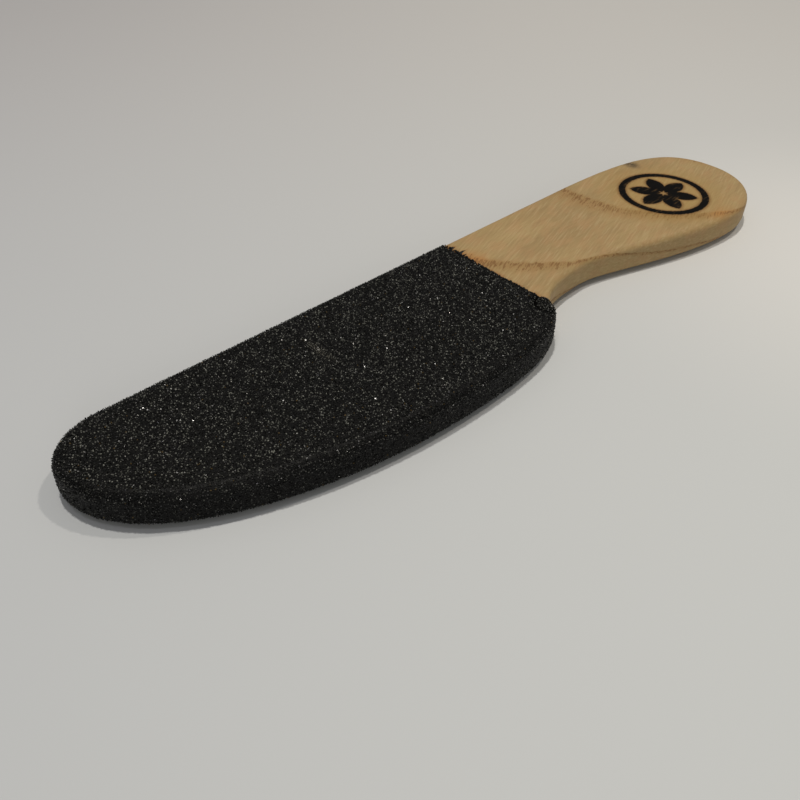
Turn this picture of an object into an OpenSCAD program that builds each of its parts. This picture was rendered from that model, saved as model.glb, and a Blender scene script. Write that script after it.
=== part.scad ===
// Foot file with the outline of a cook's knife. One wooden body is both blade and handle,
// and its blade is coated all round with a resin bond that holds coarse silicon carbide grit.
// +X runs from the coated nose to the end of the handle, +Y to the straight spine, +Z is up.
// The origin is the middle of the footprint, on the plane that the coated blade rests on.

/* [Board] */
// Length of the wooden body, from the nose of the blade to the end of the handle
body_len = 226; // [210:1:260]
// Thickness of the planed board that the body is cut from
board_t = 8.5; // [7:0.5:12]
// Radius of the sanded edges, round the whole outline and on both faces
edge_r = 2; // [1:0.25:3]

/* [Blade] */
// Width of the wooden blade, from the spine to the lowest point of the belly
blade_w = 49.5; // [40:0.5:60]
// How far below the spine the foremost point of the nose lies
nose_drop = 12; // [8:0.5:18]
// Length of spine that the rounded corner above the nose takes up
nose_corner_len = 14.5; // [10:0.5:22]
// Distance from the nose to the lowest point of the belly
belly_reach = 84; // [75:1:95]
// How far the belly runs on level towards the heel before it turns up
belly_run = 52; // [35:1:60]

/* [Handle] */
// Distance from the nose to the narrowest point of the neck
neck_reach = 143; // [135:1:155]
// Width of the neck, measured from the line of the spine
neck_w = 33; // [26:0.5:40]
// How far the neck runs level towards the heel
neck_front_run = 36; // [20:1:45]
// How far the neck runs level towards the handle's bulb
neck_back_run = 11; // [10:1:30]
// Distance from the nose to the lowest point of the bulb
bulb_reach = 202; // [190:1:210]
// How far the bulb's underside stays above the lowest line of the belly
bulb_rise = 3.5; // [0:0.5:6]
// How far the bulb's underside runs level towards the neck
bulb_front_run = 24; // [15:1:35]
// How far the bulb's underside runs level towards the handle's end
bulb_back_run = 12.5; // [8:0.5:18]
// How far below the line of the spine the rearmost point of the handle lies
end_drop = 24.5; // [18:0.5:32]
// How far the end runs square to the spine below its rearmost point
end_low_run = 13; // [6:0.5:18]
// How far the end runs square to the spine above its rearmost point
end_high_run = 22; // [10:0.5:24]
// Length of the straight spine, from the nose to where the handle's back starts to fall
spine_reach = 166; // [155:1:175]
// How far the handle's back runs on level before it falls to the end
back_run = 40; // [25:1:50]

/* [Coating] */
// Length of the coated blade, from the wooden nose to the masked edge
coat_reach = 119.5; // [100:0.5:128]
// Thickness of the resin bond on the wood
bond_t = 0.2; // [0.1:0.05:0.4]
// Thickness of the grit, from the bond to the tops of the grains
grit_t = 0.4; // [0.2:0.05:0.8]
// Height of the bead that the coating leaves on the edge of the heel
bead_rise = 0.6; // [0.2:0.1:1]
// Length of that bead, from the masked edge along the edge of the blade
bead_len = 4; // [2:0.5:8]

/* [Hidden] */
// Each node's name, as the tree shows it
// The node that is drawn

// Thickness of the whole coating on one face
coat_t = bond_t + grit_t;
// The nose of the wood, which puts the middle of the whole length at zero
nose_x = (coat_t - body_len) / 2;
// The line of the spine, which puts the middle of the whole width at zero
spine_y = blade_w / 2;
// The masked edge of the coating
mask_x = nose_x + coat_reach;
// How far below the line of the spine the bulb reaches
bulb_drop = blade_w - bulb_rise;
// The underside and the top of the wood
wood_z0 = coat_t;
wood_z1 = coat_t + board_t;
// Arm of a cubic that draws a quarter of an ellipse, as a share of that radius
quarter_share = 4 / 3 * (sqrt(2) - 1);
// Arms of a cubic that draws a straight line at an even pace, as a share of its length
third_share = 1 / 3;

// Places where the outline runs along or square to the spine
back_knot = [nose_x + spine_reach, spine_y];
corner_knot = [nose_x + nose_corner_len, spine_y];
nose_knot = [nose_x, spine_y - nose_drop];
belly_knot = [nose_x + belly_reach, spine_y - blade_w];
neck_knot = [nose_x + neck_reach, spine_y - neck_w];
bulb_knot = [nose_x + bulb_reach, spine_y - bulb_drop];
end_knot = [nose_x + body_len, spine_y - end_drop];
spine_run = (spine_reach - nose_corner_len) * third_share;
belly_rise = blade_w - nose_drop;

// The outline of the wood as cubic spans, from the handle's back along the spine,
// down round the nose, along the belly, up the heel and round the handle
outline = [
    span(back_knot, [-spine_run, 0], [spine_run, 0], corner_knot),
    span(corner_knot, [-nose_corner_len * quarter_share, 0], [0, nose_drop * quarter_share],
        nose_knot),
    span(nose_knot, [0, -belly_rise * quarter_share], [-belly_reach * quarter_share, 0],
        belly_knot),
    span(belly_knot, [belly_run, 0], [-neck_front_run, 0], neck_knot),
    span(neck_knot, [neck_back_run, 0], [-bulb_front_run, 0], bulb_knot),
    span(bulb_knot, [bulb_back_run, 0], [0, -end_low_run], end_knot),
    span(end_knot, [0, end_high_run], [back_run, 0], back_knot)
];
// Number of the span that rises from the belly to the neck, which holds the heel
heel_span = 3;
// Steps round the nose's corner, along the belly and up the heel to the masked edge
corner_steps = 10;
belly_steps = 22;
heel_steps = 18;
// Steps from the masked edge to the neck, from there to the bulb, and round its two sides
neck_steps = 6;
under_steps = 16;
end_low_steps = 14;
end_high_steps = 22;
// Steps along the spine, so that it has as many points as the side across from it
blade_spine_steps = belly_steps + heel_steps - corner_steps;
handle_spine_steps = neck_steps + under_steps + end_low_steps - end_high_steps;
// Steps from the nose to the masked edge, and from there to the end, on either side
blade_steps = belly_steps + heel_steps;
handle_steps = neck_steps + under_steps + end_low_steps;
// Steps in each quarter of a rounded edge
round_steps = 4;
// Halvings that find where an outline crosses the masked edge
halvings = 30;

// One cubic span from p to q, with the arm that leaves p and the arm that enters q
function span(p, arm_p, arm_q, q) = [p, p + arm_p, q + arm_q, q];

// The point at share u of a span
function span_point(s, u) =
    pow(1 - u, 3) * s[0] + 3 * pow(1 - u, 2) * u * s[1] + 3 * (1 - u) * u * u * s[2]
    + pow(u, 3) * s[3];

// The direction of travel at share u of a span, one unit long
function span_heading(s, u) =
    let (v = pow(1 - u, 2) * (s[1] - s[0]) + 2 * (1 - u) * u * (s[2] - s[1])
        + u * u * (s[3] - s[2]))
    v / norm(v);

// The point at place g, counted in spans, moved outwards from the wood's outline by d
function edge_point(g, d) =
    let (k = min(floor(g), len(outline) - 1), h = span_heading(outline[k], g - k))
    span_point(outline[k], g - k) + d * [h.y, -h.x];

// The place on the spine where the outline crosses the masked edge
function spine_place() = (back_knot.x - mask_x) / (back_knot.x - corner_knot.x);

// The place on the heel where the outline moved by d crosses the masked edge
function heel_place(d, low = heel_span, high = heel_span + 1, n = halvings) =
    let (g = (low + high) / 2)
    n == 0 ? g
    : edge_point(g, d).x < mask_x ? heel_place(d, g, high, n - 1)
    : heel_place(d, low, g, n - 1);

// The same point, drawn exactly onto the masked edge
function masked(p) = [mask_x, p.y];

// Evenly spread places from one place up to, but not at, another
function places(from, to, steps) = [for (i = [0:steps - 1]) from + (to - from) * i / steps];

// Places from the masked edge on the spine, round the nose, to the heel's masked edge
function blade_places(d) =
    let (first = spine_place(), last = heel_place(d))
    concat(
        places(first, 1, blade_spine_steps),
        places(1, 2, corner_steps),
        places(2, heel_span, belly_steps),
        places(heel_span, last, heel_steps),
        [last]
    );

// Outline of the blade moved outwards by d, open at the masked edge
function blade_line(d) =
    let (g = blade_places(d), last = len(g) - 1)
    [for (i = [0:last])
        i == 0 || i == last ? masked(edge_point(g[i], d)) : edge_point(g[i], d)];

// Outline of the handle moved outwards by d, between the blade's two ends
function handle_line(d) =
    let (heel = heel_place(d), neck = heel_span + 1,
        g = concat(
            places(heel, neck, neck_steps),
            places(neck, neck + 1, under_steps),
            places(neck + 1, neck + 2, end_low_steps),
            places(neck + 2, neck + 3, end_high_steps),
            places(0, spine_place(), handle_spine_steps)
        ))
    [for (i = [1:len(g) - 1]) edge_point(g[i], d)];

// Angles of a rounded edge's rows, from the top face over the wall to the underside
function row_angles() = concat(
    [for (i = [round_steps:-1:0]) 90 * i / round_steps],
    [for (i = [0:round_steps]) -90 * i / round_steps]
);

// Height of the row at angle a, where the edge has radius r round the wood's own edge centre
function row_z(a, r, low) =
    low ? wood_z0 + edge_r + r * sin(a) : wood_z1 - edge_r + r * sin(a);

// How far the row at angle a lies outside the wood's outline
function row_out(a, r) = r * cos(a) - edge_r;

// A row of points at one height
function raised(line, z) = [for (p = line) [p.x, p.y, z]];

// The blade's surface at radius r round the wood's edge centre, as rows of points
function blade_rows(r) =
    let (angles = row_angles())
    [for (j = [0:len(angles) - 1])
        raised(blade_line(row_out(angles[j], r)), row_z(angles[j], r, j > round_steps))];

// The whole wooden surface, as rows of points
function body_rows() =
    let (angles = row_angles())
    [for (j = [0:len(angles) - 1])
        let (d = row_out(angles[j], edge_r))
        raised(concat(blade_line(d), handle_line(d)),
            row_z(angles[j], edge_r, j > round_steps))];

// How much of the bead stands at point p, growing from nothing to all at the masked edge
function bead_share(p) = max(0, 1 - (mask_x - p.x) / bead_len);

// How much of the bead stands at angle a, full at the middle of the top edge
function bead_turn_share(a) = a > 0 ? sin(2 * a) : 0;

// The grit's outer surface: the blade's rows, with the bead raised on the heel's top edge
function grit_rows(r) =
    let (angles = row_angles(), plain = blade_rows(r), half = len(plain[0]) / 2)
    [for (j = [0:len(plain) - 1])
        [for (i = [0:len(plain[j]) - 1])
            let (p = plain[j][i], a = angles[j], n = len(plain[j]) - 1,
                rise = i < half ? 0 : bead_rise * pow(bead_share(p), 2) * bead_turn_share(a),
                side = plain[j][i] - plain[j][max(i - 1, 0)],
                out = norm([side.x, side.y]) > 0 ? [side.y, -side.x] / norm([side.x, side.y])
                    : [0, 1])
            i == n ? [mask_x, p.y + rise * cos(a) * out.y, p.z + rise * sin(a)]
            : [p.x + rise * cos(a) * out.x, p.y + rise * cos(a) * out.y, p.z + rise * sin(a)]]];

// All points of a list of rows in one list
function joined(rows) = [for (row = rows, p = row) p];

// Triangles between rows j and j + 1 of n points each, numbered from start, facing out
function strip(j, n, start, i) =
    let (a = start + j * n + i, b = start + j * n + (i + 1) % n, c = a + n, d = b + n)
    [[a, b, c], [b, d, c]];

// The same triangles, facing the other way
function turned(faces) = [for (f = faces) [for (i = [len(f) - 1:-1:0]) f[i]]];

// Triangles of a surface of m rows of n points, closed into rings or left open
function sheet_faces(m, n, start, closed) =
    [for (j = [0:m - 2], i = [0:n - (closed ? 1 : 2)], f = strip(j, n, start, i)) f];

// Triangles across a flat face, rung by rung from point number mid to both sides, facing up
function rungs(mid, count, n) =
    [for (i = [0:count - 1])
        let (a = mid - i, b = (mid + i) % n, next = (mid + i + 1) % n)
        each i == 0 ? [[next, b, a - 1]] : [[next, b, a], [next, a, a - 1]]];

// The same faces with every point number raised by a step
function shifted(faces, by) = [for (f = faces) [for (i = f) i + by]];

// The point numbers along the open border of such a surface, once round its masked edge
function border(m, n, start) = concat(
    [for (j = [0:m - 1]) start + j * n],
    [for (j = [m - 1:-1:0]) start + j * n + n - 1]
);

// The wooden body, both blade and handle
module wooden_body() {
    rows = body_rows();
    m = len(rows);
    n = len(rows[0]);
    top = concat(rungs(blade_steps, blade_steps, n),
        rungs(2 * blade_steps + handle_steps, handle_steps, n));
    color("burlywood")
        polyhedron(points = joined(rows),
            faces = concat(sheet_faces(m, n, 0, true), top,
                turned(shifted(top, (m - 1) * n))));
}

// The resin film: a closed pocket over the blade, open only at the masked edge
module bond_coat() {
    inner = blade_rows(edge_r);
    outer = blade_rows(edge_r + bond_t);
    m = len(inner);
    n = len(inner[0]);
    size = m * n;
    top = rungs(blade_steps, blade_steps, n);
    caps = concat(top, turned(shifted(top, (m - 1) * n)));
    inner_caps = turned(shifted(caps, size));
    rim_out = border(m, n, 0);
    rim_in = border(m, n, size);
    k = len(rim_out);
    rim = [for (i = [0:k - 1]) let (next = (i + 1) % k)
        [rim_out[i], rim_out[next], rim_in[next], rim_in[i]]];
    color("black")
        polyhedron(points = concat(joined(outer), joined(inner)),
            faces = concat(sheet_faces(m, n, 0, false), caps,
                turned(sheet_faces(m, n, size, false)), inner_caps, rim));
}

// The grit on the rounded edge, a band from the masked spine round the nose to the heel
module grit_edge() {
    inner = blade_rows(edge_r + bond_t);
    outer = grit_rows(edge_r + coat_t);
    m = len(inner);
    n = len(inner[0]);
    size = m * n;
    seams = [for (i = [0:n - 2], j = [0, m - 1]) let (a = j * n + i)
        j == 0 ? [a + 1, a, a + size, a + 1 + size] : [a, a + 1, a + 1 + size, a + size]];
    ends = [for (j = [0:m - 2], i = [0, n - 1]) let (a = j * n + i)
        i == 0 ? [a, a + n, a + n + size, a + size] : [a + n, a, a + size, a + n + size]];
    color("darkslategray")
        polyhedron(points = concat(joined(outer), joined(inner)),
            faces = concat(sheet_faces(m, n, 0, false), turned(sheet_faces(m, n, size, false)),
                seams, ends));
}

// The grit on one flat face of the blade, from height z up
module grit_plate(z) {
    color("darkslategray")
        translate([0, 0, z])
            linear_extrude(grit_t)
                polygon(blade_line(-edge_r));
}

// The grit on the face that is up
module grit_top_face() {
    grit_plate(wood_z1 + bond_t);
}

// The grit on the face that the file rests on
module grit_under_face() {
    grit_plate(0);
}

wooden_body();
bond_coat();
grit_top_face();
grit_edge();
grit_under_face();
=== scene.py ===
import math

import bmesh
import bpy
from mathutils import Matrix, Vector
from mathutils.bvhtree import BVHTree


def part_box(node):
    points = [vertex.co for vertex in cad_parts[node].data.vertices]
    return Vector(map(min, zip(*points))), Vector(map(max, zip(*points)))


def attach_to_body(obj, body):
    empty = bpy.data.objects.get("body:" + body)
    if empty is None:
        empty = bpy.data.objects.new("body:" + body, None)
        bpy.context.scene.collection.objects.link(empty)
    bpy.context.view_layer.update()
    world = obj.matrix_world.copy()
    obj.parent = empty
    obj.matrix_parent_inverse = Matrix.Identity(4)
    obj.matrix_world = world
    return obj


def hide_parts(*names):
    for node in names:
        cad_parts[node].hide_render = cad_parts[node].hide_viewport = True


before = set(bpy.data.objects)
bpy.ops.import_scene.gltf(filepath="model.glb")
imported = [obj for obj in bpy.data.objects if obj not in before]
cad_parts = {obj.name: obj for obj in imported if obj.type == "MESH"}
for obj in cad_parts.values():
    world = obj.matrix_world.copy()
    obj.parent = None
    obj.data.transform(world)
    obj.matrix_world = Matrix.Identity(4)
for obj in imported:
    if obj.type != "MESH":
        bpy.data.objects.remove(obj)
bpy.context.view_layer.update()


# Wooden body
# One board of pale ash, planed, sawn to the outline of a cook's knife and sanded by hand.
# It is left bare: rings, pores and sanding marks show, and a rosette is burnt into the handle.

MM = 0.001
merge_gap = 0.001 * MM
wood_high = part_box("wooden_body")[1]
spine_y = wood_high.y / MM
wood_top = wood_high.z / MM
mask_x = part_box("grit_top_face")[1].x / MM
even_face = 0.6 * MM
rounding, rounding_passes = 0.5, 4
sanding_depth = 0.12 * MM
sanding_patch = 14 * MM
scratch_turn = math.radians(-18)
pore_turn = math.radians(-22)


def shade(hex_colour):
    """The linear colour of an sRGB hex value."""
    parts = [int(hex_colour[i:i + 2], 16) / 255 for i in (1, 3, 5)]
    return [c / 12.92 if c <= 0.04045 else ((c + 0.055) / 1.055) ** 2.4 for c in parts] + [1]


def add(tree, kind, *fed, sockets=None, **settings):
    """Adds a node with its settings. Values and links go to its inputs in order, or by name."""
    node = tree.nodes.new(kind)
    for name, value in settings.items():
        setattr(node, name, value)
    free = [socket for socket in node.inputs if socket.enabled]
    pairs = [(free[i], value) for i, value in enumerate(fed) if value is not None]
    for name, value in (sockets or {}).items():
        pairs.append((next(socket for socket in free if socket.name == name), value))
    for socket, value in pairs:
        if isinstance(value, bpy.types.Node):
            value = next(out for out in value.outputs if out.enabled)
        if isinstance(value, bpy.types.NodeSocket):
            tree.links.new(value, socket)
        else:
            socket.default_value = value
    return node


def new_material(name):
    """A material with an empty tree, its object coordinates in millimetres and its shader."""
    material = bpy.data.materials.new(name)
    material.use_nodes = True
    tree = material.node_tree
    tree.nodes.clear()
    shader = add(tree, "ShaderNodeBsdfPrincipled")
    add(tree, "ShaderNodeOutputMaterial", shader)
    coords = add(tree, "ShaderNodeTexCoord").outputs["Object"]
    place = add(tree, "ShaderNodeVectorMath", coords, operation="SCALE",
                sockets={"Scale": 1 / MM})
    return material, tree, place, shader


def paint(tree, shader, colour, rough, bump):
    """Leads a colour, a roughness and a bump into a shader."""
    tree.links.new(colour.outputs[2], shader.inputs["Base Color"])
    tree.links.new(rough.outputs[0], shader.inputs["Roughness"])
    tree.links.new(bump.outputs[0], shader.inputs["Normal"])


def noise(tree, place, per_unit, detail=2.0, turn=0.0, roughness=0.5):
    """Noise with that many patches to the place's unit on each axis, turned about Z. In a
    material the unit is the millimetre, so 0.3 and 1.9 give dashes of 3.3 by 0.5 mm."""
    turned = add(tree, "ShaderNodeVectorRotate", place, rotation_type="Z_AXIS",
                 sockets={"Angle": turn})
    stretched = add(tree, "ShaderNodeVectorMath", turned, per_unit, operation="MULTIPLY")
    return add(tree, "ShaderNodeTexNoise", stretched,
               sockets={"Scale": 1.0, "Detail": detail, "Roughness": roughness})


def layered(tree, colour, layers):
    """A colour under layers, each with where it lies, its strength and its own colour."""
    for where, strength, hex_colour in layers:
        share = add(tree, "ShaderNodeMath", where, strength, operation="MULTIPLY")
        colour = add(tree, "ShaderNodeMix", share, colour, shade(hex_colour), data_type="RGBA")
    return colour


def patch(tree, place, centre, reach):
    """How near a place lies to a centre, from 1 there to 0 at the reach on each axis."""
    local = add(tree, "ShaderNodeVectorMath", place, centre, operation="SUBTRACT")
    scaled = add(tree, "ShaderNodeVectorMath", local, reach, operation="DIVIDE")
    away = add(tree, "ShaderNodeVectorMath", scaled, operation="LENGTH").outputs["Value"]
    return add(tree, "ShaderNodeMapRange", away, 0.0, 1.0, 1.0, 0.0,
               interpolation_type="SMOOTHSTEP")


def growth_rings(tree, place):
    """How much early wood and how much of a ring's brown line lie at a place, from 0 to 1.

    The board is sawn flat, so its rings lie almost in its faces. They rise slowly to the
    handle's end and bend away from the spine, and they leave two broad arcs on each face."""
    pitch, rise, first_ring = 7.6, 0.145, 10.19
    bend_square, bend_cube = 0.006, 0.00048
    blade_side, handle_side, handle_bend = 35.0, 60.0, 0.48
    broad_wave, ragged_wave = 0.5, 0.65
    early_start, line_start, ring_end, next_start = 0.8, 0.86, 0.985, 0.05
    at = add(tree, "ShaderNodeSeparateXYZ", place)
    below = add(tree, "ShaderNodeMath", spine_y, at.outputs["Y"], operation="SUBTRACT")
    square = add(tree, "ShaderNodeMath", below, below, operation="MULTIPLY")
    steepness = add(tree, "ShaderNodeMath", below, bend_cube, bend_square,
                    operation="MULTIPLY_ADD")
    bend = add(tree, "ShaderNodeMath", square, steepness, operation="MULTIPLY")
    less = add(tree, "ShaderNodeMapRange", at.outputs["X"], blade_side, handle_side, 1.0,
               handle_bend, interpolation_type="SMOOTHSTEP")
    bend = add(tree, "ShaderNodeMath", bend, less, operation="MULTIPLY")
    along = add(tree, "ShaderNodeMath", at.outputs["X"], bend, operation="SUBTRACT")
    height = add(tree, "ShaderNodeMath", along, rise, at.outputs["Z"], operation="MULTIPLY_ADD")
    broad = noise(tree, place, (0.03, 0.06, 0.06))
    ragged = noise(tree, place, (0.25, 0.8, 0.8), 5.0, turn=scratch_turn, roughness=0.75)
    for pattern, wave in ((broad, broad_wave), (ragged, ragged_wave)):
        swing = add(tree, "ShaderNodeMath", pattern, 0.5, operation="SUBTRACT")
        height = add(tree, "ShaderNodeMath", swing, wave, height, operation="MULTIPLY_ADD")
    above_first = add(tree, "ShaderNodeMath", height, first_ring, operation="SUBTRACT")
    rings = add(tree, "ShaderNodeMath", above_first, pitch, operation="DIVIDE")
    phase = add(tree, "ShaderNodeMath", rings, operation="FRACT")
    past = add(tree, "ShaderNodeMapRange", phase, 0.0, next_start, 1.0, 0.0,
               interpolation_type="SMOOTHSTEP")
    early, line = [
        add(tree, "ShaderNodeMath", past,
            add(tree, "ShaderNodeMapRange", phase, start, ring_end,
                interpolation_type="SMOOTHSTEP"), operation="MAXIMUM")
        for start in (early_start, line_start)]
    strength = add(tree, "ShaderNodeMapRange", noise(tree, place, (0.12, 0.4, 0.4)), 0.38, 0.6,
                   0.3, 1.0, interpolation_type="SMOOTHSTEP")
    return early, add(tree, "ShaderNodeMath", line, strength, operation="MULTIPLY")


def pores(tree, place, early):
    """Open pores along the grain: crowded short dashes in the early wood, a few elsewhere.

    Ash has pores of about 0.25 mm. They are drawn 0.5 mm wide, or they wouldn't show."""
    few, more_in_early, softness = 0.76, 0.29, 0.1
    dashes = noise(tree, place, (0.3, 1.9, 1.9), 4.0, turn=pore_turn, roughness=0.65)
    wanted = add(tree, "ShaderNodeMath", early, -more_in_early, few, operation="MULTIPLY_ADD")
    depth = add(tree, "ShaderNodeMath", dashes, wanted, operation="SUBTRACT")
    return add(tree, "ShaderNodeMapRange", depth, 0.0, softness,
               interpolation_type="SMOOTHSTEP")


def burnt_mark(tree, place):
    """How deep the burnt mark lies at a place: six broad petals in a ring, drawn by compass."""
    centre, hub_r, petal_len, petal_half = (82.0, 0.3, 0.0), 0.7, 9.8, 2.7
    ring_r, ring_half = 12.8, 1.15
    char_edge, scorch_edge, halo_edge = (-0.25, 0.12), (-0.1, 1.1), (9.0, 25.0)
    ragged_edge, worn_off = 0.7, 0.3
    petal_r = (petal_len * petal_len / 4 + petal_half * petal_half) / (2 * petal_half)
    local = add(tree, "ShaderNodeVectorMath", place, centre, operation="SUBTRACT")
    at = add(tree, "ShaderNodeSeparateXYZ", local)
    flat = add(tree, "ShaderNodeCombineXYZ", at.outputs["X"], at.outputs["Y"], 0.0)
    away = add(tree, "ShaderNodeVectorMath", flat, operation="LENGTH").outputs["Value"]

    # Every petal is folded on to half of one, whose side is an arc of a circle.
    angle = add(tree, "ShaderNodeMath", at.outputs["Y"], at.outputs["X"], operation="ARCTAN2")
    folded = add(tree, "ShaderNodeMath", angle, math.pi / 6, operation="PINGPONG")
    outward, sideways = [
        add(tree, "ShaderNodeMath", away,
            add(tree, "ShaderNodeMath", folded, operation=part), operation="MULTIPLY")
        for part in ("COSINE", "SINE")]
    petal = add(tree, "ShaderNodeCombineXYZ", outward, sideways, 0.0)
    hub = (hub_r + petal_len / 2, petal_half - petal_r, 0.0)
    side = add(tree, "ShaderNodeVectorMath", petal, hub, operation="DISTANCE").outputs["Value"]
    petal_gap = add(tree, "ShaderNodeMath", side, petal_r, operation="SUBTRACT")
    off_ring = add(tree, "ShaderNodeMath", away, ring_r, operation="SUBTRACT")
    off_ring = add(tree, "ShaderNodeMath", off_ring, operation="ABSOLUTE")
    ring_gap = add(tree, "ShaderNodeMath", off_ring, ring_half, operation="SUBTRACT")
    gap = add(tree, "ShaderNodeMath", petal_gap, ring_gap, operation="MINIMUM")
    ragged = noise(tree, place, (1.2, 2.4, 1.0), 3.0)
    ragged = add(tree, "ShaderNodeMath", ragged, 0.5, operation="SUBTRACT")
    gap = add(tree, "ShaderNodeMath", ragged, ragged_edge, gap, operation="MULTIPLY_ADD")

    on_top = add(tree, "ShaderNodeMath", at.outputs["Z"], wood_top / 2, operation="GREATER_THAN")
    char, scorch, halo = [
        add(tree, "ShaderNodeMath", on_top,
            add(tree, "ShaderNodeMapRange", reach, *edge, 1.0, 0.0,
                interpolation_type="SMOOTHSTEP"), operation="MULTIPLY")
        for reach, edge in ((gap, char_edge), (gap, scorch_edge), (away, halo_edge))]
    streaks = add(tree, "ShaderNodeMapRange", noise(tree, place, (0.25, 1.6, 1.0), 4.0), 0.5,
                  0.72, interpolation_type="SMOOTHSTEP")
    areas = add(tree, "ShaderNodeMapRange", noise(tree, place, (0.12, 0.12, 1.0), 1.0), 0.42,
                0.62, interpolation_type="SMOOTHSTEP")
    worn = add(tree, "ShaderNodeMath", streaks, areas, operation="MULTIPLY")
    kept = add(tree, "ShaderNodeMath", worn, -worn_off, 1.0, operation="MULTIPLY_ADD")
    return add(tree, "ShaderNodeMath", char, kept, operation="MULTIPLY"), scorch, halo


def resin_stain(tree, place):
    """How black and how brown the resin has stained the wood past the masked edge."""
    bleed_place, bleed_reach, longest = (mask_x, 18.8, wood_top), (9.0, 4.6, 9.0), 5.2
    ragged_reach, ragged_middle, least_reach = 1.9, 0.4, 0.05
    softness, brown_reach = 0.12, 2.2
    at = add(tree, "ShaderNodeSeparateXYZ", place)
    past = add(tree, "ShaderNodeMath", at.outputs["X"], mask_x, operation="SUBTRACT")
    fine = noise(tree, place, (0.35, 2.2, 2.2))
    streak = noise(tree, place, (0.05, 1.0, 1.0), 1.0)
    bleeding = patch(tree, place, bleed_place, bleed_reach)
    fine = add(tree, "ShaderNodeMath", fine, ragged_middle, operation="SUBTRACT")
    reach = add(tree, "ShaderNodeMath", fine, ragged_reach, least_reach,
                operation="MULTIPLY_ADD")
    streak = add(tree, "ShaderNodeMapRange", streak, 0.42, 0.62, interpolation_type="SMOOTHSTEP")
    long_reach = add(tree, "ShaderNodeMath", streak, bleeding, operation="MULTIPLY")
    reach = add(tree, "ShaderNodeMath", long_reach, longest, reach, operation="MULTIPLY_ADD")
    left = add(tree, "ShaderNodeMath", reach, past, operation="SUBTRACT")
    near = add(tree, "ShaderNodeMapRange", left, -brown_reach, 0.0,
               interpolation_type="SMOOTHSTEP")
    blots = add(tree, "ShaderNodeMapRange", noise(tree, place, (0.3, 0.7, 0.7), 3.0), 0.4, 0.6,
                interpolation_type="SMOOTHSTEP")
    blackened = add(tree, "ShaderNodeMapRange", left, -softness, softness,
                    interpolation_type="SMOOTHSTEP")
    return blackened, add(tree, "ShaderNodeMath", near, blots, operation="MULTIPLY")


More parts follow.
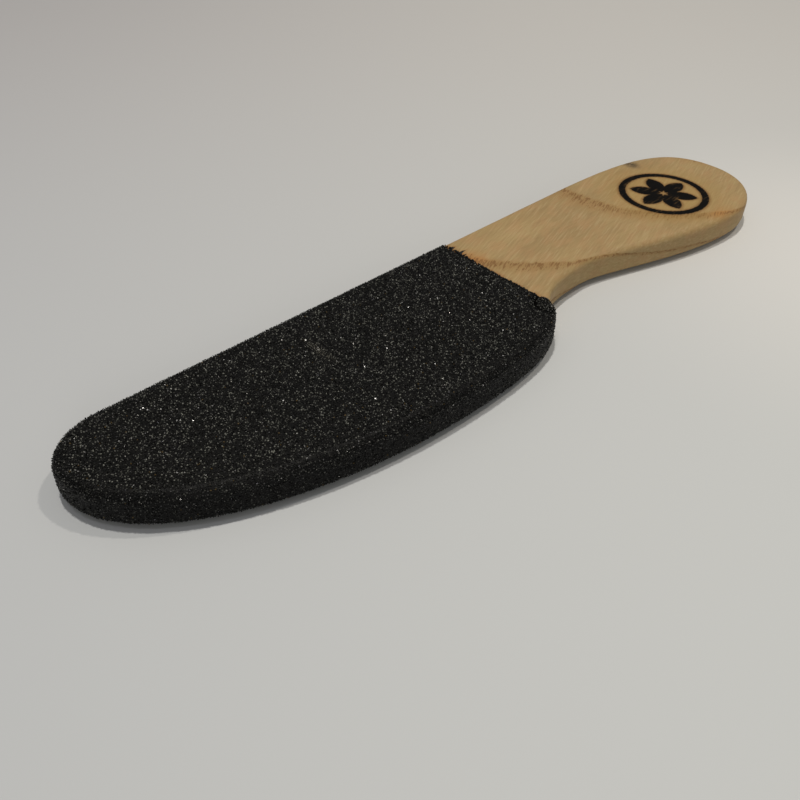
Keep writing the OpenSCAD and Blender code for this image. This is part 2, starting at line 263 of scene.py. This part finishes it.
def ash_material():
    """Bare ash, planed and sanded: matt, with fine scratches, open pores and brown ring lines.

    Its fibres and the marks of the sanding paper are about 0.1 mm wide. The picture's points
    are about 0.3 mm apart, so both are drawn 0.5 to 0.7 mm wide, or they wouldn't show."""
    knot_place, knot_reach = (91.8, 19.2, wood_top - 0.5), (3.4, 4.6, 4.0)
    handle_orange, handle_reach = (84.5, -18.5, wood_top), (9.0, 4.5, 6.0)
    neck_orange, neck_reach = (9.5, 13.5, wood_top), (6.0, 7.0, 6.0)
    orange_strength, orange_in_line = 0.3, 0.3
    relief_strength, relief_depth = 0.35, 0.12 * MM
    bare_shine, less_when_burnt, rougher_when_burnt = 0.35, 0.25, 0.3
    material, tree, place, shader = new_material("ash_planed_and_sanded")
    early, line = growth_rings(tree, place)
    slits = pores(tree, place, early)
    broad = noise(tree, place, (0.03, 0.1, 0.1), 3.0)
    blotch = noise(tree, place, (0.16, 0.34, 0.34), 4.0, turn=scratch_turn)
    fibre = noise(tree, place, (0.16, 1.5, 1.5), 4.0, roughness=0.6)
    scratch = noise(tree, place, (0.11, 1.9, 1.9), 3.0, turn=scratch_turn, roughness=0.6)
    char, scorch, halo = burnt_mark(tree, place)
    black, brown = resin_stain(tree, place)
    cloudy = add(tree, "ShaderNodeMapRange", noise(tree, place, (0.5, 1.1, 1.1), 3.0), 0.25, 0.5,
                 interpolation_type="SMOOTHSTEP")
    knot = add(tree, "ShaderNodeMath", patch(tree, place, knot_place, knot_reach), cloudy,
               operation="MULTIPLY")
    orange = add(tree, "ShaderNodeMath", patch(tree, place, handle_orange, handle_reach),
                 patch(tree, place, neck_orange, neck_reach), operation="MAXIMUM")
    stronger = add(tree, "ShaderNodeMath", line, orange_in_line, orange_strength,
                   operation="MULTIPLY_ADD")
    orange = add(tree, "ShaderNodeMath", orange, stronger, operation="MULTIPLY")
    base, mottle, threads, pale_marks, dark_marks = [
        add(tree, "ShaderNodeMapRange", pattern, low, high, interpolation_type="SMOOTHSTEP")
        for pattern, low, high in ((broad, 0.3, 0.7), (blotch, 0.4, 0.66), (fibre, 0.4, 0.75),
                                   (scratch, 0.5, 0.72), (scratch, 0.5, 0.3))]
    colour = add(tree, "ShaderNodeMix", base, shade("#967e54"), shade("#a28a5d"),
                 data_type="RGBA")
    colour = layered(tree, colour, (
        (mottle, 0.5, "#a68359"),
        (threads, 0.24, "#7d633f"),
        (pale_marks, 0.32, "#bca67f"),
        (dark_marks, 0.27, "#7f6845"),
        (early, 0.4, "#94713d"),
        (line, 0.3, "#7c5a2c"),
        (orange, 1.0, "#ac7236"),
        (slits, 0.7, "#6f4a1f"),
        (halo, 0.45, "#9b7c3c"),
        (brown, 0.7, "#84521f"),
        (knot, 0.9, "#372b1c"),
        (scorch, 0.7, "#6f4a1c"),
        (char, 1.0, "#080706"),
        (black, 1.0, "#060606")))
    relief = scratch
    for pattern, share in ((slits, -0.7), (fibre, 0.5), (char, -1.2)):
        relief = add(tree, "ShaderNodeMath", pattern, share, relief, operation="MULTIPLY_ADD")
    bump = add(tree, "ShaderNodeBump", sockets={
        "Strength": relief_strength, "Distance": relief_depth, "Height": relief})
    rough = add(tree, "ShaderNodeMapRange", fibre, 0.2, 0.8, 0.54, 0.68,
                interpolation_type="SMOOTHSTEP")
    rough = add(tree, "ShaderNodeMath", char, rougher_when_burnt, rough,
                operation="MULTIPLY_ADD")
    paint(tree, shader, colour, rough, bump)
    shine = add(tree, "ShaderNodeMath", char, -less_when_burnt, bare_shine,
                operation="MULTIPLY_ADD")
    tree.links.new(shine.outputs[0], shader.inputs["Specular IOR Level"])
    return material


def merged_copy(node, name):
    """A copy of a solid's mesh with its loose triangles joined up."""
    mesh = bpy.data.meshes.new(name)
    shape = bmesh.new()
    shape.from_mesh(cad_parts[node].data)
    bmesh.ops.remove_doubles(shape, verts=shape.verts, dist=merge_gap)
    shape.to_mesh(mesh)
    shape.free()
    piece = bpy.data.objects.new(name, mesh)
    bpy.context.scene.collection.objects.link(piece)
    return piece


def new_tree(name, *inputs):
    """A geometry tree with a geometry on both ends and the named inputs between them."""
    tree = bpy.data.node_groups.new(name, "GeometryNodeTree")
    tree.interface.new_socket("Geometry", in_out="OUTPUT", socket_type="NodeSocketGeometry")
    tree.interface.new_socket("Geometry", in_out="INPUT", socket_type="NodeSocketGeometry")
    for label, kind in inputs:
        tree.interface.new_socket(label, in_out="INPUT", socket_type="NodeSocket" + kind)
    return tree, add(tree, "NodeGroupInput").outputs


def attach(piece, tree, **values):
    """Puts a tree on a piece, with its inputs set by their labels."""
    modifier = piece.modifiers.new(tree.name, "NODES")
    modifier.node_group = tree
    for item in tree.interface.items_tree:
        if item.in_out == "INPUT" and item.name in values:
            modifier[item.identifier] = values[item.name]


def finished(piece):
    """The piece as a plain mesh, with all its modifiers worked in."""
    evaluated = piece.evaluated_get(bpy.context.evaluated_depsgraph_get())
    mesh = bpy.data.meshes.new_from_object(evaluated)
    piece.modifiers.clear()
    piece.data = mesh
    mesh.name = piece.name
    return piece


def closing(tree, geometry, material):
    """Ends a tree: its instances are made real and take the material."""
    real = add(tree, "GeometryNodeRealizeInstances", geometry)
    coated = add(tree, "GeometryNodeSetMaterial", real, sockets={"Material": material})
    add(tree, "NodeGroupOutput", coated)


def hand_sanding():
    """Takes the skin in a little, here more and there less, as sanding by hand does."""
    tree, given = new_tree("hand_sanding", ("Depth", "Float"), ("Patch", "Float"),
                           ("Material", "Material"))
    place = add(tree, "GeometryNodeInputPosition")
    size = add(tree, "ShaderNodeMath", 1.0, given["Patch"], operation="DIVIDE")
    patches = add(tree, "ShaderNodeTexNoise", place, sockets={"Scale": size, "Detail": 2.0})
    depth = add(tree, "ShaderNodeMath", patches, given["Depth"], operation="MULTIPLY")
    depth = add(tree, "ShaderNodeMath", depth, -1.0, operation="MULTIPLY")
    inward = add(tree, "ShaderNodeVectorMath", add(tree, "GeometryNodeInputNormal"),
                 operation="SCALE", sockets={"Scale": depth})
    skin = add(tree, "GeometryNodeSetPosition", given["Geometry"], sockets={"Offset": inward})
    closing(tree, skin, given["Material"])
    return tree


ash = merged_copy("wooden_body", "ash_board")
even = ash.modifiers.new("even_faces", "REMESH")
even.mode = "VOXEL"
even.voxel_size = even_face
even.use_smooth_shade = True
smooth = ash.modifiers.new("rounded", "SMOOTH")
smooth.factor = rounding
smooth.iterations = rounding_passes
attach(ash, hand_sanding(), Depth=sanding_depth, Patch=sanding_patch, Material=ash_material())
finished(ash)
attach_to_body(ash, "root")
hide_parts("wooden_body")


# Resin bond
# The blade is brushed with a black resin that sets hard and holds the grit. It shows as a
# film between the grains, and it has set in small drops all along the masked edge.

creep_spacing = 0.3 * MM
creep_reach = 1.0 * MM
creep_least = 0.42
creep_from, creep_to = 7 * MM, 17 * MM
creep_seed = 5
drop_size = (0.3 * MM, 0.26 * MM, 0.2 * MM)
least_push, most_push = -0.3, 1.0
least_swell, most_swell = 0.6, 1.35
on_line_gap = 0.01
off_wood_gap = 0.1 * MM


def resin_material():
    """Cured black resin, brushed on thick: satin, uneven and nearly black. Its shine is taken away
    in the crevice beside the heel's bead as painted shade. Its lumps are about as wide as a grain,
    0.45 mm."""
    shaded_crevice_place, shaded_crevice_reach = (5.5, -14.5, 8.5), (5.0, 6.5, 3.5)
    open_shine, shade_in_crevice = 0.12, 0.3
    fines_share, relief_strength, relief_depth = 0.6, 0.6, 0.1 * MM
    material, tree, place, shader = new_material("black_resin_brushed")
    lumps = noise(tree, place, (1.4, 2.2, 2.2), 4.0)
    fines = noise(tree, place, (6.0, 6.0, 6.0))
    share = add(tree, "ShaderNodeMapRange", lumps, 0.3, 0.7, interpolation_type="SMOOTHSTEP")
    colour = add(tree, "ShaderNodeMix", share, shade("#050505"), shade("#0b0b0a"),
                 data_type="RGBA")
    relief = add(tree, "ShaderNodeMath", fines, fines_share, lumps, operation="MULTIPLY_ADD")
    bump = add(tree, "ShaderNodeBump", sockets={
        "Strength": relief_strength, "Distance": relief_depth, "Height": relief})
    rough = add(tree, "ShaderNodeMapRange", lumps, 0.3, 0.7, 0.4, 0.62,
                interpolation_type="SMOOTHSTEP")
    paint(tree, shader, colour, rough, bump)
    # Painted shade: less shine in the crevice beside the heel's bead, where shade falls.
    crevice_shade = patch(tree, place, shaded_crevice_place, shaded_crevice_reach)
    shine = add(tree, "ShaderNodeMath", crevice_shade, -shade_in_crevice, open_shine,
                operation="MULTIPLY_ADD", use_clamp=True)
    tree.links.new(shine.outputs[0], shader.inputs["Specular IOR Level"])
    return material


def masked_line(name):
    """The line round the wood where the masking tape ended, as a closed ring of edges."""
    ring = merged_copy("bond_coat", name)
    shape = bmesh.new()
    shape.from_mesh(ring.data)
    on_line = [v for v in shape.verts if abs(v.co.x / MM - mask_x) < on_line_gap]
    middle = Vector((0, sum(v.co.y for v in on_line), sum(v.co.z for v in on_line))) / len(on_line)
    outer = [v.co.copy() for v in on_line if not wood_shape.find_nearest(v.co)[3] < off_wood_gap]
    shape.free()
    outer.sort(key=lambda p: math.atan2(p.z - middle.z, p.y - middle.y))
    count = len(outer)
    ring.data = bpy.data.meshes.new(name)
    ring.data.from_pydata(outer, [(i, (i + 1) % count) for i in range(count)], [])
    return ring


def creeping_drops():
    """Small flat drops of resin along a line, each pushed a little way over the wood. The
    reach grows from its least share to all of it across the blade."""
    tree, given = new_tree("creeping_drops", ("Spacing", "Float"), ("Reach", "Float"),
                           ("Least share", "Float"), ("From", "Float"), ("To", "Float"),
                           ("Drop size", "Vector"), ("Seed", "Int"), ("Material", "Material"))
    line = add(tree, "GeometryNodeMeshToCurve", given["Geometry"])
    beads = add(tree, "GeometryNodeCurveToPoints", line, mode="LENGTH",
                sockets={"Length": given["Spacing"]})
    across = add(tree, "ShaderNodeSeparateXYZ", add(tree, "GeometryNodeInputPosition"))
    share = add(tree, "ShaderNodeMapRange", across.outputs["Y"], given["From"], given["To"],
                given["Least share"], 1.0, interpolation_type="SMOOTHSTEP")
    reach = add(tree, "ShaderNodeMath", share, given["Reach"], operation="MULTIPLY")
    push = add(tree, "FunctionNodeRandomValue", least_push, most_push, data_type="FLOAT",
               sockets={"Seed": given["Seed"]})
    push = add(tree, "ShaderNodeMath", push, reach, operation="MULTIPLY")
    pushed = add(tree, "GeometryNodeSetPosition", beads.outputs["Points"],
                 sockets={"Offset": add(tree, "ShaderNodeCombineXYZ", push)})
    next_seed = add(tree, "ShaderNodeMath", given["Seed"], 1.0, operation="ADD")
    swell = add(tree, "FunctionNodeRandomValue", least_swell, most_swell, data_type="FLOAT",
                sockets={"Seed": next_seed})
    size = add(tree, "ShaderNodeVectorMath", given["Drop size"], operation="SCALE",
               sockets={"Scale": swell})
    drop = add(tree, "GeometryNodeSetShadeSmooth", add(tree, "GeometryNodeMeshIcoSphere", 1.0, 2))
    drops = add(tree, "GeometryNodeInstanceOnPoints", pushed,
                sockets={"Instance": drop, "Scale": size})
    closing(tree, drops, given["Material"])
    return tree


wood_copy = merged_copy("wooden_body", "wood_for_distance")
shape = bmesh.new()
shape.from_mesh(wood_copy.data)
wood_shape = BVHTree.FromBMesh(shape)
shape.free()
bpy.data.objects.remove(wood_copy)

resin = resin_material()
bond_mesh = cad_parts["bond_coat"].data
bond_mesh.materials.clear()
bond_mesh.materials.append(resin)

creep = masked_line("resin_creep")
attach(creep, creeping_drops(), Spacing=creep_spacing, Reach=creep_reach, From=creep_from,
       To=creep_to, Seed=creep_seed, Material=resin,
       **{"Least share": creep_least, "Drop size": drop_size})
finished(creep)
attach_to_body(creep, "root")


# Silicon carbide grit
# Sharp black shards of broken crystal, 0.3 to 0.5 mm across, are strewn on the wet resin of
# both faces and the rounded edge. On the heel the coat has drawn back from a small place.

grain_size = 0.46 * MM
grain_spacing = 0.37 * MM
grain_crowd = 24 / (MM * MM)
least_stretch, most_stretch = (0.65, 0.65, 0.65), (1.1, 1.1, 1.1)
shard_kinds, shard_corners = 6, 7
top_sink, side_sink = 0.16 * MM, 0.255 * MM
wall_tilt, face_tilt = 0.3, 0.8
grain_unevenness = 0.22 * MM
grain_end = mask_x * MM - 0.3 * MM
grain_end_waver = 0.25 * MM
waver_per_metre = 0.9 / MM
grain_seed = 11
buried_gap = 0.5 * MM
flat_tilt, every_tilt = 0.995, 2.0
# The grains on the rounded edge and walls are drawn darker than on the faces: painted shade.
face_brightness, shaded_edge_brightness = 1.0, 0.8
bare_place = (5.05 * MM, -14.2 * MM, 8.5 * MM)
bare_size = (4.7 * MM, 2.7 * MM, 1.75 * MM)
bare_turn = math.radians(50)


def grit_material():
    """Crushed silicon carbide under a thin skin of resin: black, with a few bare facets that
    glint. The ripples of a break are far finer than 0.2 mm, and are drawn that wide to show."""
    scuff_place, scuff_reach = (-49.4, 8.6, wood_top), (1.9, 8.0, 4.0)
    darkness, odd_share, second_draw = 4.6, 0.992, 7.31
    glossiest, dullest, shine = 0.19, 0.45, 0.36
    relief_strength, relief_depth = 0.1, 0.03 * MM
    material, tree, place, shader = new_material("silicon_carbide_crushed")
    tone = add(tree, "ShaderNodeAttribute", attribute_name="grain_tone").outputs["Fac"]
    other = add(tree, "ShaderNodeMath", tone, second_draw, operation="MULTIPLY")
    other = add(tree, "ShaderNodeMath", other, operation="FRACT")
    frosting = noise(tree, place, (5.0, 5.0, 5.0), 3.0)
    bareness = add(tree, "ShaderNodeMath", tone, darkness, operation="POWER")
    colour = add(tree, "ShaderNodeMix", bareness, shade("#060606"), shade("#7e7f77"),
                 data_type="RGBA")
    odd = add(tree, "ShaderNodeMath", other, odd_share, operation="GREATER_THAN")
    colour = layered(tree, colour, (
        (odd, 1.0, "#4f4020"),
        (patch(tree, place, scuff_place, scuff_reach), 0.85, "#6f6c61")))
    bump = add(tree, "ShaderNodeBump", sockets={
        "Strength": relief_strength, "Distance": relief_depth, "Height": frosting})
    rough = add(tree, "ShaderNodeMapRange", other, 0.0, 1.0, glossiest, dullest,
                interpolation_type="SMOOTHSTEP")
    paint(tree, shader, colour, rough, bump)
    shader.inputs["Specular IOR Level"].default_value = shine
    return material


def shards(tree, size):
    """A few broken grains, each the hull of a few points strewn on a ball."""
    grains = add(tree, "GeometryNodeJoinGeometry")
    for seed in range(shard_kinds):
        anywhere = add(tree, "FunctionNodeRandomValue", (-1, -1, -1), (1, 1, 1),
                       sockets={"Seed": seed}, data_type="FLOAT_VECTOR")
        on_ball = add(tree, "ShaderNodeVectorMath", anywhere, operation="NORMALIZE")
        corner = add(tree, "ShaderNodeVectorMath", on_ball, operation="SCALE",
                     sockets={"Scale": size})
        corners = add(tree, "GeometryNodePoints", shard_corners, corner)
        hull = add(tree, "GeometryNodeConvexHull", corners)
        hard = add(tree, "GeometryNodeSetShadeSmooth", hull, sockets={"Shade Smooth": False})
        single = add(tree, "GeometryNodeGeometryToInstance", hard)
        tree.links.new(single.outputs[0], grains.inputs[0])
    return grains


def strewn_grains():
    """Grains strewn over the whole blade, of which only those on surfaces that face up by no
    less than one tilt and no more than another are kept, up to the end and clear of the bare
    place. Each grain is turned at random and sunk in, less so where the surface faces up."""
    tree, given = new_tree("strewn_grains", ("Grain size", "Float"), ("Spacing", "Float"),
                           ("Top sink", "Float"), ("Side sink", "Float"),
                           ("Unevenness", "Float"), ("Brightness", "Float"),
                           ("Least tilt", "Float"), ("Most tilt", "Float"), ("End", "Float"),
                           ("End waver", "Float"), ("Bare place", "Vector"),
                           ("Bare size", "Vector"), ("Bare turn", "Float"), ("Seed", "Int"),
                           ("Material", "Material"))
    strewn = add(tree, "GeometryNodeDistributePointsOnFaces", given["Geometry"],
                 distribute_method="POISSON",
                 sockets={"Distance Min": given["Spacing"], "Density Max": grain_crowd,
                          "Seed": given["Seed"]})
    tilt = add(tree, "ShaderNodeSeparateXYZ", strewn.outputs["Normal"]).outputs["Z"]
    place = add(tree, "GeometryNodeInputPosition")
    uneven, turn, stretch, tone = [
        add(tree, "FunctionNodeRandomValue", low, high, data_type=kind, sockets={
            "Seed": add(tree, "ShaderNodeMath", given["Seed"], number, operation="ADD")})
        for number, low, high, kind in (
            (1.0, 0.0, given["Unevenness"], "FLOAT"),
            (2.0, (0, 0, 0), (math.tau, math.tau, math.tau), "FLOAT_VECTOR"),
            (3.0, least_stretch, most_stretch, "FLOAT_VECTOR"),
            (4.0, 0.0, given["Brightness"], "FLOAT"))]

    # A grain is left out where it lies on another surface, past the end or in the bare place.
    waver = noise(tree, place, (waver_per_metre,) * 3, 1.0)
    waver = add(tree, "ShaderNodeMath", waver, 0.5, operation="SUBTRACT")
    along = add(tree, "ShaderNodeSeparateXYZ", place).outputs["X"]
    past = add(tree, "ShaderNodeMath", waver, given["End waver"], along,
               operation="MULTIPLY_ADD")
    local = add(tree, "ShaderNodeVectorMath", place, given["Bare place"], operation="SUBTRACT")
    local = add(tree, "ShaderNodeVectorRotate", local, rotation_type="Z_AXIS", invert=True,
                sockets={"Angle": given["Bare turn"]})
    local = add(tree, "ShaderNodeVectorMath", local, given["Bare size"], operation="DIVIDE")
    away = add(tree, "ShaderNodeVectorMath", local, operation="LENGTH").outputs["Value"]
    elsewhere = add(tree, "ShaderNodeMath", tilt, given["Least tilt"], operation="LESS_THAN")
    for value, limit, test in ((tilt, given["Most tilt"], "GREATER_THAN"),
                               (past, given["End"], "GREATER_THAN"),
                               (away, 1.0, "LESS_THAN")):
        outside = add(tree, "ShaderNodeMath", value, limit, operation=test)
        elsewhere = add(tree, "ShaderNodeMath", elsewhere, outside, operation="MAXIMUM")

    sink = add(tree, "ShaderNodeMapRange", tilt, wall_tilt, face_tilt, given["Side sink"],
               given["Top sink"], interpolation_type="SMOOTHSTEP")
    depth = add(tree, "ShaderNodeMath", sink, uneven, operation="ADD")
    depth = add(tree, "ShaderNodeMath", depth, -1.0, operation="MULTIPLY")
    inward = add(tree, "ShaderNodeVectorMath", strewn.outputs["Normal"], operation="SCALE",
                 sockets={"Scale": depth})
    seated = add(tree, "GeometryNodeSetPosition", strewn, sockets={"Offset": inward})
    toned = add(tree, "GeometryNodeStoreNamedAttribute", seated, data_type="FLOAT",
                domain="POINT", sockets={"Name": "grain_tone", "Value": tone})
    kept = add(tree, "GeometryNodeDeleteGeometry", toned, elsewhere, domain="POINT")
    radius = add(tree, "ShaderNodeMath", given["Grain size"], 0.5, operation="MULTIPLY")
    grains = add(tree, "GeometryNodeInstanceOnPoints", kept,
                 sockets={"Instance": shards(tree, radius), "Pick Instance": True,
                          "Rotation": turn, "Scale": stretch})
    closing(tree, grains, given["Material"])
    return tree


def blade_skin(name):
    """The outside of the three grit layers, joined to one skin round the blade."""
    shape = bmesh.new()
    for node in ("grit_top_face", "grit_edge", "grit_under_face"):
        shape.from_mesh(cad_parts[node].data)
    bmesh.ops.remove_doubles(shape, verts=shape.verts, dist=merge_gap)
    buried = [face for face in shape.faces
              if wood_shape.find_nearest(face.calc_center_median())[3] < buried_gap]
    bmesh.ops.delete(shape, geom=buried, context="FACES")
    mesh = bpy.data.meshes.new(name)
    shape.to_mesh(mesh)
    shape.free()
    skin = bpy.data.objects.new(name, mesh)
    bpy.context.scene.collection.objects.link(skin)
    return skin


grains = strewn_grains()
silicon_carbide = grit_material()
for node, bright, least, most in (
        ("grit_top_face", face_brightness, flat_tilt, every_tilt),
        # The edge layer's darker grains are painted shade on the blade's walls.
        ("grit_edge", shaded_edge_brightness, -flat_tilt, flat_tilt),
        ("grit_under_face", face_brightness, -every_tilt, -flat_tilt)):
    layer = blade_skin(node + "_grains")
    attach(layer, grains, Spacing=grain_spacing, Unevenness=grain_unevenness, Brightness=bright,
           End=grain_end, Seed=grain_seed, Material=silicon_carbide,
           **{"Grain size": grain_size, "Top sink": top_sink, "Side sink": side_sink,
              "Least tilt": least, "Most tilt": most, "End waver": grain_end_waver,
              "Bare place": bare_place, "Bare size": bare_size, "Bare turn": bare_turn})
    finished(layer)
    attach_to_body(layer, "root")
    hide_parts(node)


# Bead on the heel
# Resin has run together at the end of the masked edge and set as a lump, with grains all over
# it. It fills most of the place that the coat left bare, and a crevice stays beside it, dark from
# its depth and from painted shade in the resin.

bead_place = (5.35 * MM, -14.4 * MM, 8.5 * MM)
bead_size = (4.3 * MM, 2.2 * MM, 1.3 * MM)
bead_turn = bare_turn
bead_unevenness = 0.25
lump_scale = 1.7
squareness = 3.0
bead_grain_size = 0.42 * MM
bead_grain_spacing = 0.3 * MM
bead_grain_unevenness = 0.08 * MM
bead_grain_sink = 0.04 * MM
bead_grain_rise = 0.17 * MM
bead_grain_seed = 3

# The bead's own grains have no end and no bare place, so both are set a metre away.
far_end = 1.0
nowhere = (0.0, 0.0, 1.0)


def resin_bead():
    """A lump of resin: a ball made uneven, drawn out to three half sizes, turned and placed.
    Its profile is an oval of the sixth power, flatter on top and steeper at the rim."""
    tree, given = new_tree("resin_bead", ("Place", "Vector"), ("Size", "Vector"),
                           ("Turn", "Float"), ("Unevenness", "Float"), ("Material", "Material"))
    ball = add(tree, "GeometryNodeMeshIcoSphere", 1.0, 5)
    at = add(tree, "GeometryNodeInputPosition")
    bumps = add(tree, "ShaderNodeTexNoise", at, sockets={"Scale": lump_scale, "Detail": 3.0})
    upward = add(tree, "ShaderNodeSeparateXYZ", at).outputs["Z"]
    upward = add(tree, "ShaderNodeMath", upward, upward, operation="MULTIPLY")
    sideways = add(tree, "ShaderNodeMath", 1.0, upward, operation="SUBTRACT")
    steep = add(tree, "ShaderNodeMath", sideways, squareness, operation="POWER")
    level = add(tree, "ShaderNodeMath", upward, squareness, operation="POWER")
    steep = add(tree, "ShaderNodeMath", steep, level, operation="ADD")
    steep = add(tree, "ShaderNodeMath", steep, -0.5 / squareness, operation="POWER")
    least = add(tree, "ShaderNodeMath", 1.0, given["Unevenness"], operation="SUBTRACT")
    share = add(tree, "ShaderNodeMath", bumps, given["Unevenness"], least,
                operation="MULTIPLY_ADD")
    share = add(tree, "ShaderNodeMath", share, steep, operation="MULTIPLY")
    spread = add(tree, "ShaderNodeVectorMath", at, operation="SCALE", sockets={"Scale": share})
    uneven = add(tree, "GeometryNodeSetPosition", ball, sockets={"Position": spread})
    placed = add(tree, "GeometryNodeTransform", uneven, sockets={
        "Translation": given["Place"], "Scale": given["Size"],
        "Rotation": add(tree, "ShaderNodeCombineXYZ", 0.0, 0.0, given["Turn"])})
    closing(tree, add(tree, "GeometryNodeSetShadeSmooth", placed), given["Material"])
    return tree


# The grains' lump is a little larger than the resin's, so the grains stand out of it.
bead = resin_bead()
for name, slot, cut in (("heel_bead", "resin_bond", bead_grain_rise),
                        ("heel_bead_grains", "silicon_carbide_grit", 0.0)):
    lump = bpy.data.objects.new(name, bpy.data.meshes.new(name))
    bpy.context.scene.collection.objects.link(lump)
    attach(lump, bead, Place=bead_place, Size=[half - cut for half in bead_size],
           Turn=bead_turn, Unevenness=bead_unevenness, Material=resin)
    if slot == "silicon_carbide_grit":
        attach(lump, grains, Spacing=bead_grain_spacing, Unevenness=bead_grain_unevenness,
               Brightness=face_brightness, End=far_end, Seed=bead_grain_seed,
               Material=silicon_carbide,
               **{"Grain size": bead_grain_size, "Top sink": bead_grain_sink,
                  "Side sink": bead_grain_sink, "Least tilt": -every_tilt,
                  "Most tilt": every_tilt, "End waver": 0.0, "Bare place": nowhere,
                  "Bare size": bare_size, "Bare turn": 0.0})
    finished(lump)
    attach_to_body(lump, "root")


# Table, lamps and camera
# A pale satin table top in a grey room, under three small lamps and a broad soft one. The
# camera is held in the hand in front of the blade, and its place is counted in millimetres.

table_half = 1.2
lamp_distance = 1.3
room_light, backdrop_light = 0.255, 1.0
sensor, lens = 36, 36.46
camera_from_spine = (-140.13, -138.74, 116.62)
camera_heading = math.radians(46.317)
camera_dip = math.radians(40.915)
camera_roll = math.radians(1.0)
nearest_seen = 0.01


def table_material():
    """A pale satin table top with painted light: lighter to one side, a little darker and warmer
    far off, and a painted pool of light where the handle points.
    """
    across_turn, across_reach = math.radians(40), (-260.0, 140.0)
    ahead_turn, ahead_reach = math.radians(-46), (-125.0, 290.0)
    light_pool_place, light_pool_reach, light_pool_strength = (110.0, -60.0, 0.0), (110.0, 110.0, 1.0), 0.42
    satin, shine = 0.6, 0.2
    material, tree, place, shader = new_material("table_satin")
    # Painted light: the table grows lighter to one side and darker and warmer far off.
    across, ahead = [
        add(tree, "ShaderNodeMapRange",
            add(tree, "ShaderNodeSeparateXYZ",
                add(tree, "ShaderNodeVectorRotate", place, rotation_type="Z_AXIS",
                    sockets={"Angle": angle})).outputs["X"],
            *reach, interpolation_type="SMOOTHSTEP")
        for angle, reach in ((across_turn, across_reach), (ahead_turn, ahead_reach))]
    colour = add(tree, "ShaderNodeMix", across, shade("#b5b8bb"), shade("#c7cac9"),
                 data_type="RGBA")
    colour = add(tree, "ShaderNodeMix", ahead, colour, shade("#f7f2ef"), data_type="RGBA",
                 blend_type="MULTIPLY")
    # A painted pool of light where the handle points.
    light_pool = patch(tree, place, light_pool_place, light_pool_reach)
    colour = layered(tree, colour, ((light_pool, light_pool_strength, "#e6e3dd"),))
    tree.links.new(colour.outputs[2], shader.inputs["Base Color"])
    shader.inputs["Roughness"].default_value = satin
    shader.inputs["Specular IOR Level"].default_value = shine
    return material


table_mesh = bpy.data.meshes.new("table")
table_mesh.from_pydata([(-table_half, -table_half, 0), (table_half, -table_half, 0),
                        (table_half, table_half, 0), (-table_half, table_half, 0)],
                       [], [(0, 1, 2, 3)])
table_mesh.materials.append(table_material())
table = bpy.data.objects.new("table", table_mesh)
bpy.context.scene.collection.objects.link(table)

world = bpy.data.worlds.new("room")
world.use_nodes = True
room = world.node_tree
room.nodes.clear()
seen = add(room, "ShaderNodeLightPath").outputs["Is Camera Ray"]
sky = add(room, "ShaderNodeBackground", shade("#fbfaf8"), room_light)
backdrop = add(room, "ShaderNodeBackground", shade("#c6c3bc"), backdrop_light)
add(room, "ShaderNodeOutputWorld", add(room, "ShaderNodeMixShader", seen, sky, backdrop))
bpy.context.scene.world = world


def hang_lamp(name, azimuth, elevation, share, width, colour):
    """A round lamp that gives a level surface below it that share of full light. Its azimuth
    and elevation are in degrees, and its width is in metres."""
    light = bpy.data.lights.new(name, "AREA")
    light.shape = "DISK"
    light.size = width
    light.energy = share * (math.pi * lamp_distance) ** 2 / math.sin(math.radians(elevation))
    light.color = shade(colour)[:3]
    lamp = bpy.data.objects.new(name, light)
    bpy.context.scene.collection.objects.link(lamp)
    flat = math.cos(math.radians(elevation))
    away = Vector((flat * math.cos(math.radians(azimuth)),
                   flat * math.sin(math.radians(azimuth)), math.sin(math.radians(elevation))))
    lamp.location = away * lamp_distance
    lamp.rotation_mode = "QUATERNION"
    lamp.rotation_quaternion = away.to_track_quat("Z", "Y")


hang_lamp("lamp_above", 95, 84, 0.465, 0.06, "#fffaf2")
hang_lamp("lamp_right", -15, 64, 0.2, 0.05, "#fff6ea")
hang_lamp("lamp_left", 175, 74, 0.055, 0.08, "#fbf6ff")
hang_lamp("soft_fill", -120, 20, 0.045, 0.55, "#fffaf2")

camera_data = bpy.data.cameras.new("camera")
camera_data.sensor_width = sensor
camera_data.lens = lens
camera_data.clip_start = nearest_seen
camera = bpy.data.objects.new("camera", camera_data)
bpy.context.scene.collection.objects.link(camera)
aim = (Matrix.Rotation(camera_heading - math.pi / 2, 4, "Z")
       @ Matrix.Rotation(math.pi / 2 - camera_dip, 4, "X")
       @ Matrix.Rotation(camera_roll, 4, "Z"))
eye = (Vector((0, spine_y, wood_top)) + Vector(camera_from_spine)) * MM
camera.matrix_world = Matrix.Translation(eye) @ aim
bpy.context.scene.camera = camera
bpy.context.scene.view_settings.view_transform = "Standard"
